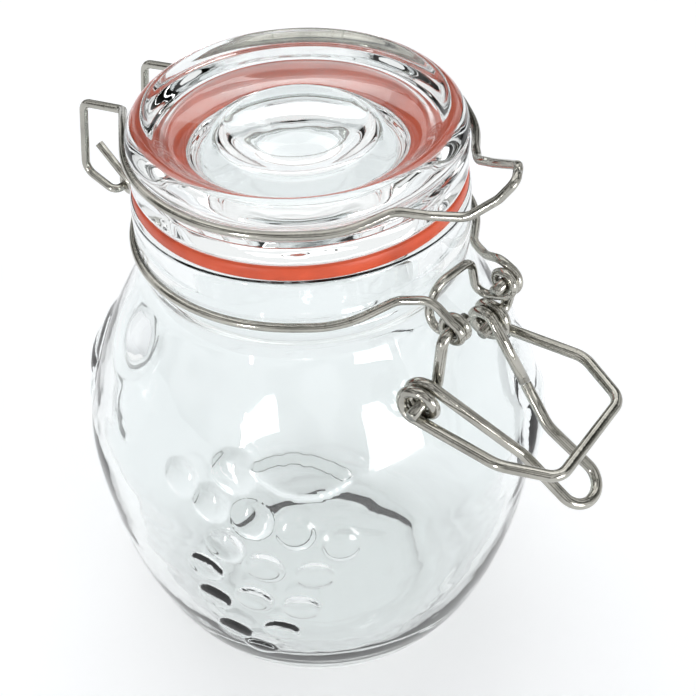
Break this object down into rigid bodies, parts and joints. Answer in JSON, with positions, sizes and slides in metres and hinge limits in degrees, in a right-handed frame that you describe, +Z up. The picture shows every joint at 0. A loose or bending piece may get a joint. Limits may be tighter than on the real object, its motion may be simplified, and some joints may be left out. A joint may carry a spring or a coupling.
{
  "type": "clip-top jar",
  "caption": "Round-bellied clear glass storage jar with a hinged glass lid, an orange rubber seal and a sprung wire clip.",
  "frame": {"origin": "on the jar's axis, in the plane that it stands on", "axes": "+Z up along the jar's axis, -Y to the front with the latch, +Y to the lid hinge, +X to the jar's left as seen from the hinge side looking forward"},
  "size_m": [0.0916, 0.1177, 0.1278],
  "materials": {
    "jar_glass": "clear pressed glass with moulded fruit, faint grey-blue tint",
    "lid_glass": "clear pressed glass, faint grey-blue tint",
    "rubber_seal": "smooth orange-red rubber",
    "wire_steel": "bright plated round wire, slightly scratched"
  },
  "bodies": {
    "jar": {"jar_body": "jar_glass", "neck_wire": "wire_steel"},
    "lid": {"lid_glass": "lid_glass", "lid_seal": "rubber_seal", "lid_wire": "wire_steel"},
    "links": {"link_near": "wire_steel", "link_far": "wire_steel"},
    "latch": {"latch_wire": "wire_steel"}
  },
  "joints": [
    {"name": "lid_hinge", "type": "hinge", "parent": "jar", "child": "lid", "pos_m": [0, 0.0415, 0.0925], "axis": [-1, 0, 0], "range_deg": [0, 125]},
    {"name": "link_swing", "type": "hinge", "parent": "jar", "child": "links", "pos_m": [0, -0.0406, 0.0954], "axis": [-1, 0, 0], "range_deg": [0, 65]},
    {"name": "latch_swing", "type": "hinge", "parent": "links", "child": "latch", "pos_m": [-0.0162, -0.0396, 0.0832], "axis": [-0.9923, -0.0339, -0.1187], "range_deg": [-28, 60]}
  ]
}
